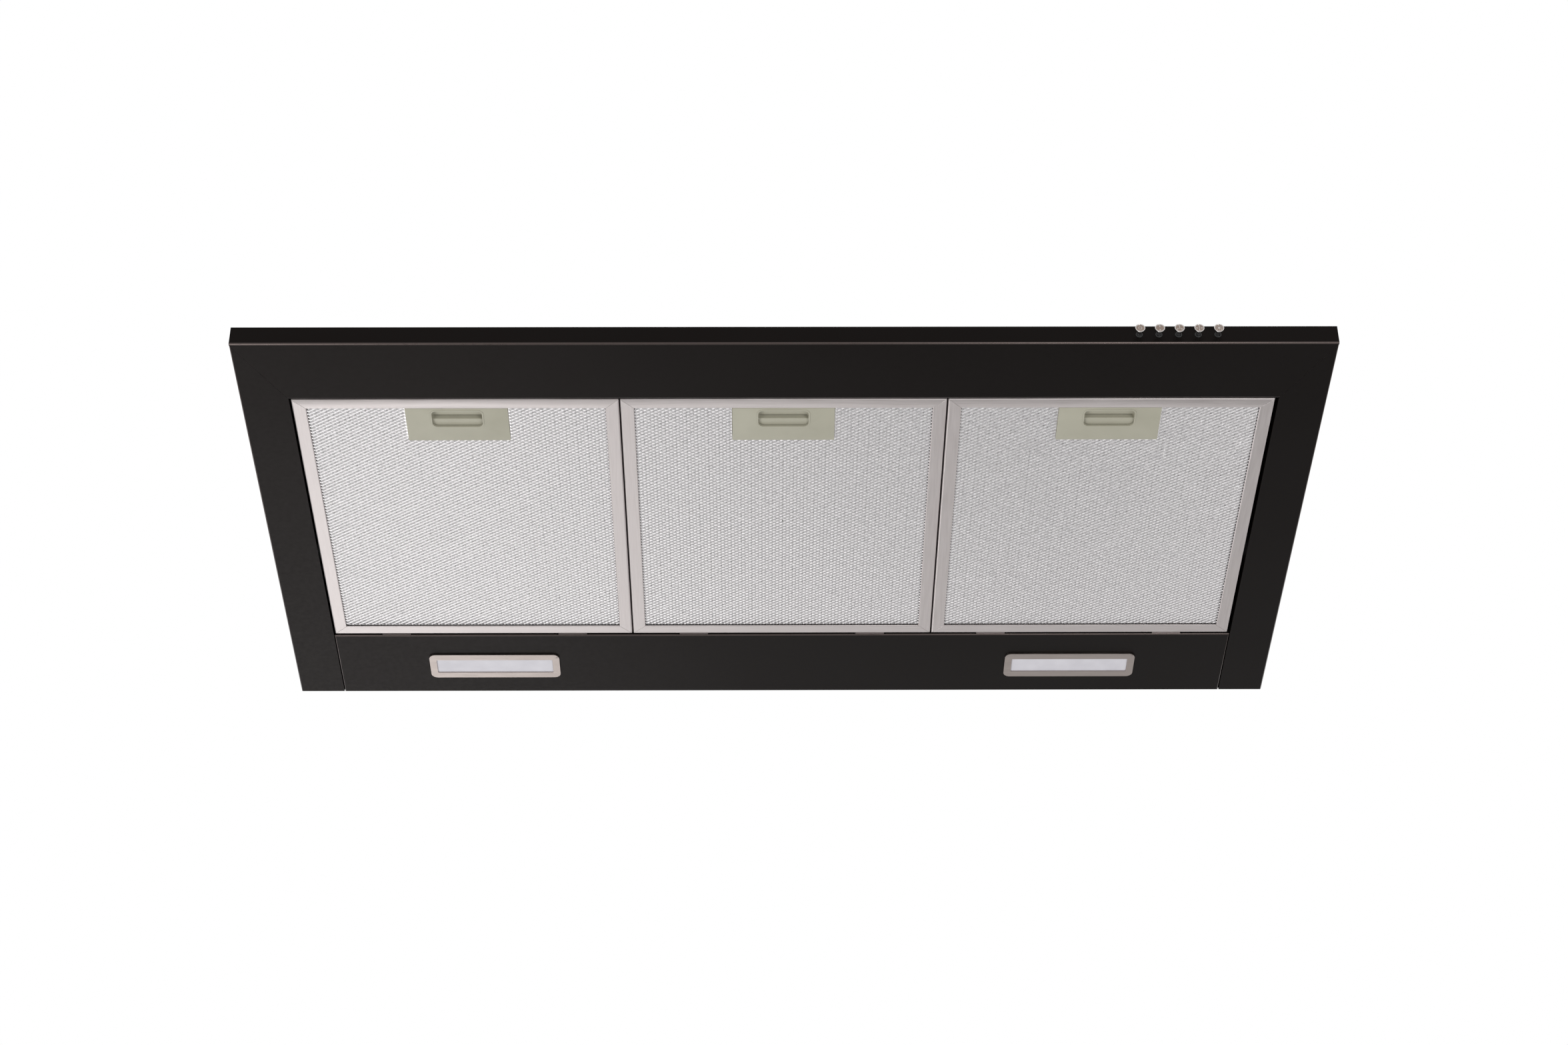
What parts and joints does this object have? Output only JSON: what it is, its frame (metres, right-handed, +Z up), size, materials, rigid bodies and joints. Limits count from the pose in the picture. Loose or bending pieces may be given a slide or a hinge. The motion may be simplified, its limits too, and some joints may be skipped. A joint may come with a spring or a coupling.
{
  "type": "under cabinet range hood",
  "caption": "Slim black under-cabinet range hood with drop-down aluminium mesh filters, rear lamps, front push buttons, a centrifugal blower and a round top duct collar with damper.",
  "frame": {"origin": "centre of the four cabinet screw slots, on the top face", "axes": "+X to the right as the user faces the hood, +Y towards the wall, +Z up"},
  "size_m": [0.9, 0.5087, 0.1735],
  "materials": {
    "black_enamel": "smooth satin-gloss black paint",
    "filter_aluminium": "satin rolled aluminium",
    "foil_aluminium": "bright expanded foil",
    "latch_plastic": "fine-grained grey-green moulded plastic",
    "spring_steel": "bright spring strip",
    "chrome_plate": "polished chrome plate",
    "black_plastic": "moulded black plastic",
    "nickel_trim": "satin nickel",
    "milky_lens": "milky diffuser",
    "galvanised": "galvanised sheet",
    "motor_steel": "dark lacquered laminations",
    "bright_steel": "zinc-plated steel",
    "board_white": "white circuit board",
    "capacitor_grey": "light grey moulded case",
    "terminal_white": "ivory moulded plastic",
    "rubber_black": "soft black rubber"
  },
  "bodies": {
    "hood": {"canopy_shell": "black_enamel", "front_fascia": "black_enamel", "side_panel_left": "black_enamel", "side_panel_right": "black_enamel", "back_panel": "black_enamel", "lamp_panel": "black_enamel", "button_bushes": "black_plastic", "switch_bank": "black_plastic", "duct_collar": "black_plastic", "collar_screws": "bright_steel", "scroll_housing": "galvanised", "inlet_plate": "galvanised", "motor": "motor_steel", "outlet_box": "galvanised", "blower_screws": "bright_steel", "junction_box": "galvanised", "junction_cover": "galvanised", "junction_screws": "bright_steel", "cable_grommet": "rubber_black", "terminal_block": "terminal_white", "motor_capacitor": "capacitor_grey", "led_driver": "black_plastic", "lamp_bezel_left": "nickel_trim", "lamp_lens_left": "milky_lens", "lamp_tray_left": "galvanised", "led_board_left": "board_white", "lamp_bezel_right": "nickel_trim", "lamp_lens_right": "milky_lens", "lamp_tray_right": "galvanised", "led_board_right": "board_white"},
    "filter_left": {"filter_frame_left": "filter_aluminium", "filter_mesh_left": "foil_aluminium", "latch_housing_left": "latch_plastic", "latch_spring_left": "spring_steel"},
    "latch_left": {"latch_slider_left": "latch_plastic"},
    "filter_centre": {"filter_frame_centre": "filter_aluminium", "filter_mesh_centre": "foil_aluminium", "latch_housing_centre": "latch_plastic", "latch_spring_centre": "spring_steel"},
    "latch_centre": {"latch_slider_centre": "latch_plastic"},
    "filter_right": {"filter_frame_right": "filter_aluminium", "filter_mesh_right": "foil_aluminium", "latch_housing_right": "latch_plastic", "latch_spring_right": "spring_steel"},
    "latch_right": {"latch_slider_right": "latch_plastic"},
    "button_off": {"button_off": "chrome_plate"},
    "button_low": {"button_low": "chrome_plate"},
    "button_medium": {"button_medium": "chrome_plate"},
    "button_high": {"button_high": "chrome_plate"},
    "button_light": {"button_light": "chrome_plate"},
    "fan": {"impeller": "galvanised", "motor_shaft": "bright_steel", "impeller_nut": "bright_steel"},
    "damper_left": {"damper_flap_left": "galvanised", "damper_pin_left": "bright_steel"},
    "damper_right": {"damper_flap_right": "galvanised", "damper_pin_right": "bright_steel"}
  },
  "joints": [
    {"name": "filter_left_swing", "type": "hinge", "parent": "hood", "child": "filter_left", "pos_m": [0, 0.0773, -0.128], "axis": [1, 0, 0], "range_deg": [0, 65]},
    {"name": "latch_left_slide", "type": "slide", "parent": "filter_left", "child": "latch_left", "axis": [0, 1, 0], "range_m": [0, 0.0045], "stiffness_N_per_m": 400, "springref_m": -0.002, "deforming": ["latch_spring_left"]},
    {"name": "filter_centre_swing", "type": "hinge", "parent": "hood", "child": "filter_centre", "pos_m": [0, 0.0773, -0.128], "axis": [1, 0, 0], "range_deg": [0, 65]},
    {"name": "latch_centre_slide", "type": "slide", "parent": "filter_centre", "child": "latch_centre", "axis": [0, 1, 0], "range_m": [0, 0.0045], "stiffness_N_per_m": 400, "springref_m": -0.002, "deforming": ["latch_spring_centre"]},
    {"name": "filter_right_swing", "type": "hinge", "parent": "hood", "child": "filter_right", "pos_m": [0, 0.0773, -0.128], "axis": [1, 0, 0], "range_deg": [0, 65]},
    {"name": "latch_right_slide", "type": "slide", "parent": "filter_right", "child": "latch_right", "axis": [0, 1, 0], "range_m": [0, 0.0045], "stiffness_N_per_m": 400, "springref_m": -0.002, "deforming": ["latch_spring_right"]},
    {"name": "button_off_press", "type": "slide", "parent": "hood", "child": "button_off", "axis": [0, 1, 0], "range_m": [0, 0.004], "stiffness_N_per_m": 400, "springref_m": -0.002},
    {"name": "button_low_press", "type": "slide", "parent": "hood", "child": "button_low", "axis": [0, 1, 0], "range_m": [0, 0.004], "stiffness_N_per_m": 400, "springref_m": -0.002},
    {"name": "button_medium_press", "type": "slide", "parent": "hood", "child": "button_medium", "axis": [0, 1, 0], "range_m": [0, 0.004], "stiffness_N_per_m": 400, "springref_m": -0.002},
    {"name": "button_high_press", "type": "slide", "parent": "hood", "child": "button_high", "axis": [0, 1, 0], "range_m": [0, 0.004], "stiffness_N_per_m": 400, "springref_m": -0.002},
    {"name": "button_light_press", "type": "slide", "parent": "hood", "child": "button_light", "axis": [0, 1, 0], "range_m": [0, 0.004], "stiffness_N_per_m": 400, "springref_m": -0.002},
    {"name": "fan_spin", "type": "hinge", "parent": "hood", "child": "fan", "pos_m": [-0.19551, -0.02, -0.04], "axis": [0, 0, -1], "continuous": true},
    {"name": "damper_left_swing", "type": "hinge", "parent": "hood", "child": "damper_left", "pos_m": [-0.0034, 0.075, 0.0033], "axis": [0, 1, 0], "range_deg": [0, 75]},
    {"name": "damper_right_swing", "type": "hinge", "parent": "hood", "child": "damper_right", "pos_m": [0.0034, 0.075, 0.0033], "axis": [0, -1, 0], "range_deg": [0, 75]}
  ]
}
